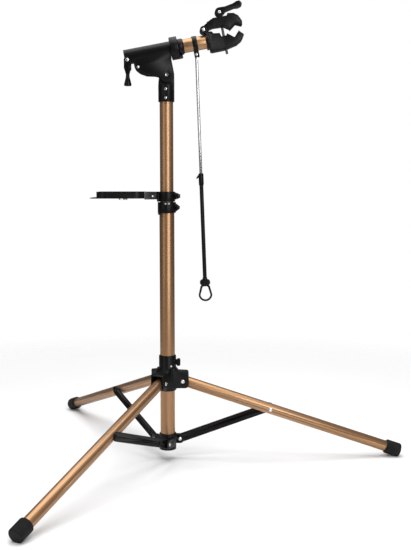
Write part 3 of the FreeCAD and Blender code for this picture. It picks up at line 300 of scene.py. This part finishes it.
def add_lathe(mesh, where, profile, segments=48):
    """Turn a closed profile about the matrix's Z axis: (radius, height), then SIX_SIDED for a hexagon."""
    rings = []
    for radius, height, *six_sided in profile:
        if radius < SAME_POINT:
            rings.append([mesh.verts.new(where @ Vector((0, 0, height)))])
            continue
        ring = []
        for k in range(segments):
            angle = 2 * math.pi * k / segments
            reach = radius * (hexagon(angle) if six_sided else 1.0)
            ring.append(mesh.verts.new(
                where @ Vector((reach * math.cos(angle), reach * math.sin(angle), height))))
        rings.append(ring)
    for below, above in zip(rings, rings[1:]):
        for k in range(segments):
            n = (k + 1) % segments
            corners = [below[k % len(below)], below[n % len(below)],
                       above[n % len(above)], above[k % len(above)]]
            unique = list(dict.fromkeys(corners))
            if len(unique) > 2:
                mesh.faces.new(unique)


def finish_mesh(name, mesh, node, replaces=(), smooth=35.0):
    """Make a piece in a node's finish that moves with the node's body."""
    bmesh.ops.recalc_face_normals(mesh, faces=mesh.faces)
    data = bpy.data.meshes.new(name)
    mesh.to_mesh(data)
    mesh.free()
    for polygon in data.polygons:
        polygon.use_smooth = True
    data.set_sharp_from_angle(angle=math.radians(smooth))
    data.materials.append(MATERIALS[SLOT_OF[node]])
    piece = bpy.data.objects.new(name, data)
    bpy.context.scene.collection.objects.link(piece)
    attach(piece, BODY_OF[node])
    if replaces:
        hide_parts(*replaces)


def dome(radius, height, steps=7):
    """A button head from its rim to its middle, as (radius, height above its seat)."""
    rim = 0.3 * height
    return [(radius * math.cos(a), rim + (height - rim) * math.sin(a))
            for a in (math.pi / 2 * k / steps for k in range(steps))]


def head_profile(radius, height, socket):
    """A domed head from its seat inwards, with a hexagonal socket or a plain middle."""
    profile = [(radius, 0.0)] + dome(radius, height)
    if not socket:
        return profile + [(0.0, height)]
    mouth, floor = 0.52 * radius, 0.35 * height
    kept = [point for point in profile if point[0] > mouth * 1.15]
    return kept + [(mouth * 1.06, 0.93 * height), (mouth, 0.86 * height, SIX_SIDED),
                   (mouth, floor, SIX_SIDED),
                   (0.0, floor - 0.08 * height)]


NEAR_AXIS, HEAD_STEP = 0.6 * MM, 0.5 * MM


def measured(points):
    """Middle, axis, both ends along it, shank radius and two heads (radius, height) of a pin."""
    middle = (points.min(0) + points.max(0)) / 2
    _, _, rows = np.linalg.svd(points - middle, full_matrices=False)
    axis = rows[0]
    along = (points - middle) @ axis
    off = np.linalg.norm(points - middle - np.outer(along, axis), axis=1)
    shank = off[off > NEAR_AXIS].min()
    heads = []
    for side in (-1, 1):
        wide = (off > shank + HEAD_STEP) & (side * along > 0)
        if wide.any():
            heads.append((off[wide].max(), np.ptp(along[wide])))
        else:
            heads.append((shank, HEAD_STEP))
    return middle, axis, (along.min(), along.max()), shank, heads


def make_fasteners(node, socket=True):
    """Turned bolts or pins with domed heads in place of a node's plain ones."""
    mesh = bmesh.new()
    for points in islands(node):
        middle, axis, (low, high), shank, heads = measured(points)
        below = [(r, low + heads[0][1] - h, *six)
                 for r, h, *six in reversed(head_profile(*heads[0], socket and heads[0][0] > shank))]
        above = [(r, high - heads[1][1] + h, *six)
                 for r, h, *six in head_profile(*heads[1], socket and heads[1][0] > shank)]
        profile = below + [(shank, low + heads[0][1]), (shank, high - heads[1][1])] + above
        add_lathe(mesh, frame_along(middle, axis), profile)
    finish_mesh(node + "_turned", mesh, node, replaces=(node,), smooth=30.0)


def make_all_fasteners():
    """Bolts have hexagonal sockets; rivets and pins have plain domes."""
    for node in ["base_bolts", "hub_bolts", "tilt_bolt", "cam_pin"] + ["leg_bolt_" + leg for leg in LEGS]:
        make_fasteners(node)
    for node in ("head_rivet", "lever_pin", "jaw_pin", "rod_band_pin"):
        make_fasteners(node, socket=False)


FLAT = 0.999


def side_outline(node, side):
    """Corner points round the outer edge of a node's largest flat that faces side along Y."""
    mesh = bmesh.new()
    mesh.from_mesh(NODES[node].data)
    bmesh.ops.remove_doubles(mesh, verts=mesh.verts, dist=SAME_POINT)
    areas = {}
    for face in mesh.faces:
        if side * face.normal.y > FLAT:
            level = round(face.calc_center_median().y / (0.1 * MM))
            areas.setdefault(level, []).append(face)
    flat = max(areas.values(), key=lambda faces: sum(f.calc_area() for f in faces))
    edges = dict.fromkeys(e for f in flat for e in f.edges if sum(g in flat for g in e.link_faces) == 1)
    loops = []
    while edges:
        edge, _ = edges.popitem()
        loop = [edge.verts[0], edge.verts[1]]
        while loop[-1] is not loop[0]:
            step = next((e for e in loop[-1].link_edges if e in edges), None)
            if step is None:
                break
            del edges[step]
            loop.append(step.other_vert(loop[-1]))
        loops.append([v.co.copy() for v in loop[:-1]])
    mesh.free()
    return max(loops, key=lambda points: sum((a - b).length for a, b in zip(points, points[1:])))


def moved_in(points, distance):
    """An outline in XZ moved towards its inside by a distance, corner by corner."""
    flat = [Vector((p.x, p.z)) for p in points]
    area = sum(a.cross(b) for a, b in zip(flat, flat[1:] + flat[:1]))
    turn = 1.0 if area > 0 else -1.0
    moved = []
    for before, here, after in zip(flat[-1:] + flat[:-1], flat, flat[1:] + flat[:1]):
        ways = [(here - before).normalized(), (after - here).normalized()]
        normals = [Vector((-w.y, w.x)) * turn for w in ways]
        middle = (normals[0] + normals[1]).normalized()
        reach = distance / max(0.5, middle.dot(normals[0]))
        moved.append(here + middle * reach)
    return moved


RIM_SUNK = 0.3 * MM


def make_rims(node, inset, width, rise):
    """Raised rims just inside the edges of a casting's two flat sides, as a moulding has."""
    mesh = bmesh.new()
    for side in (-1, 1):
        outline = side_outline(node, side)
        level = outline[0].y
        loops = []
        shoulder = 0.7 * rise
        for distance, height in ((inset, -RIM_SUNK), (inset, shoulder), (inset + 0.3 * width, rise),
                                 (inset + 0.7 * width, rise), (inset + width, shoulder),
                                 (inset + width, -RIM_SUNK)):
            loops.append([mesh.verts.new((p.x, level + side * height, p.y))
                          for p in moved_in(outline, distance)])
        for low, high in zip(loops, loops[1:] + loops[:1]):
            for k in range(len(low)):
                mesh.faces.new([low[k - 1], low[k], high[k], high[k - 1]])
    finish_mesh(node + "_rims", mesh, node)


# ---------------------------------------------------------------- carried-over nodes


BEVELS = {"bolt_steel": 0.25, "chrome_rod": 0.2, "bronze_anodised": 0.3, "black_knob": 1.3,
          "black_casting": 0.8, "black_rubber": 1.0, "grey_steel": 0.3, "black_steel": 0.6}
ROUNDED = {"rod_loop": 2.3}
SHARP_ANGLE, BEVEL_ANGLE = 32, 40


def dress_cad_nodes():
    """Give every CAD node its material, smooth shading and edges softened by a width in millimetres."""
    for name, node in NODES.items():
        slot = SLOT_OF[name]
        data = node.data
        data.materials.clear()
        data.materials.append(MATERIALS[slot])
        for polygon in data.polygons:
            polygon.use_smooth = True
            polygon.material_index = 0
        data.set_sharp_from_angle(angle=math.radians(SHARP_ANGLE))
        weld = node.modifiers.new("weld", "WELD")
        weld.merge_threshold = 2 * SAME_POINT
        bevel = node.modifiers.new("soft_edges", "BEVEL")
        bevel.width = ROUNDED.get(name, BEVELS[slot]) * MM
        bevel.segments = 5 if name in ROUNDED else 3
        bevel.limit_method = "ANGLE"
        bevel.angle_limit = math.radians(BEVEL_ANGLE)
        bevel.use_clamp_overlap = True
        bevel.harden_normals = True
    for leg in LEGS:
        _, direction = axis_of("leg_tube_" + leg)
        finish = anodised("anodised_leg_" + leg)
        NODES["leg_tube_" + leg].data.materials[0] = turned_along(finish, direction)
        finish = ribbed_rubber("rubber_foot_" + leg, RUBBER)
        NODES["leg_foot_" + leg].data.materials[0] = turned_along(finish, direction)
    _, direction = axis_of("arm_tube")
    finish = anodised("anodised_arm")
    NODES["arm_tube"].data.materials[0] = turned_along(finish, direction)


def turned_along(material, direction):
    """Turn a finish made for an upright piece so that its Z runs along a direction."""
    tree = material.node_tree
    turn = frame_along((0, 0, 0), direction).to_3x3().inverted().to_euler()
    coords = next(n for n in tree.nodes if n.type == "TEX_COORD")
    mapping = tree.nodes.new("ShaderNodeMapping")
    mapping.inputs["Rotation"].default_value = turn
    targets = [link.to_socket for link in coords.outputs["Object"].links]
    for socket in targets:
        tree.links.new(mapping.outputs["Vector"], socket)
    tree.links.new(coords.outputs["Object"], mapping.inputs["Vector"])
    return material


dress_cad_nodes()
make_all_fasteners()
make_rims("head_casting", 1.6 * MM, 1.8 * MM, 0.8 * MM)
make_rims("upper_jaw", 1.2 * MM, 1.5 * MM, 0.7 * MM)
make_rims("lower_jaw", 1.2 * MM, 1.5 * MM, 0.7 * MM)

# ---------------------------------------------------------------- stage


FLOOR_REACH, FLOOR_LEVEL = 14.0, -0.5 * MM
FADE_START, FADE_END = 0.8, 1.9


def make_floor():
    """A pale floor that turns clear with distance from the stand."""
    mesh = bmesh.new()
    for x, y in ((-1, -1), (1, -1), (1, 1), (-1, 1)):
        mesh.verts.new((x * FLOOR_REACH, y * FLOOR_REACH, FLOOR_LEVEL))
    mesh.faces.new(mesh.verts)
    data = bpy.data.meshes.new("floor")
    mesh.to_mesh(data)
    mesh.free()
    m = Nodes("floor")
    m.link(m.ramp(m.noise(3.0), [(0.0, (0.86, 0.86, 0.86)), (1.0, (0.9, 0.9, 0.9))]), "Base Color")
    m.set(Roughness=0.9)
    distance = m.add("VectorMath", {0: m.coords}, operation="LENGTH").outputs["Value"]
    clear = m.add("BsdfTransparent")
    fade = m.add("MixShader", {"Fac": m.remap(distance, 0.0, 1.0, FADE_START, FADE_END)})
    m.tree.links.new(m.shader.outputs["BSDF"], fade.inputs[1])
    m.tree.links.new(clear.outputs["BSDF"], fade.inputs[2])
    m.tree.links.new(fade.outputs["Shader"], m.tree.nodes["Material Output"].inputs["Surface"])
    data.materials.append(m.material)
    floor = bpy.data.objects.new("floor", data)
    bpy.context.scene.collection.objects.link(floor)


def area_light(name, place, aim, size, power):
    """A rectangular light at a place, turned to its aim, with its power in watts."""
    data = bpy.data.lights.new(name, "AREA")
    data.shape = "RECTANGLE"
    data.size, data.size_y = size
    data.energy = power
    light = bpy.data.objects.new(name, data)
    bpy.context.scene.collection.objects.link(light)
    light.location = place
    light.rotation_euler = (Vector(aim) - Vector(place)).to_track_quat("-Z", "Y").to_euler()


AMBIENT_COLOUR, AMBIENT_STRENGTH = (0.62, 0.63, 0.65, 1), 0.3


def make_world():
    """A dim grey light from all round, and white where the camera sees past the floor."""
    world = bpy.data.worlds.new("studio")
    bpy.context.scene.world = world
    world.use_nodes = True
    tree = world.node_tree
    lit, seen = tree.nodes["Background"], tree.nodes.new("ShaderNodeBackground")
    lit.inputs["Color"].default_value = AMBIENT_COLOUR
    lit.inputs["Strength"].default_value = AMBIENT_STRENGTH
    seen.inputs["Color"].default_value = (1, 1, 1, 1)
    path, mix = tree.nodes.new("ShaderNodeLightPath"), tree.nodes.new("ShaderNodeMixShader")
    tree.links.new(path.outputs["Is Camera Ray"], mix.inputs["Fac"])
    tree.links.new(lit.outputs["Background"], mix.inputs[1])
    tree.links.new(seen.outputs["Background"], mix.inputs[2])
    tree.links.new(mix.outputs["Shader"], tree.nodes["World Output"].inputs["Surface"])


make_floor()
make_world()
area_light("key", (1.25, -2.5, 1.45), (0.05, 0, 0.7), (1.0, 2.5), 52)
area_light("fill", (-2.2, -1.9, 1.5), (0, 0, 0.7), (1.2, 2.2), 15)
area_light("top", (0.0, 0.0, 3.4), (0, 0, 0), (3.4, 3.4), 140)
bpy.context.scene.view_settings.view_transform = "Standard"
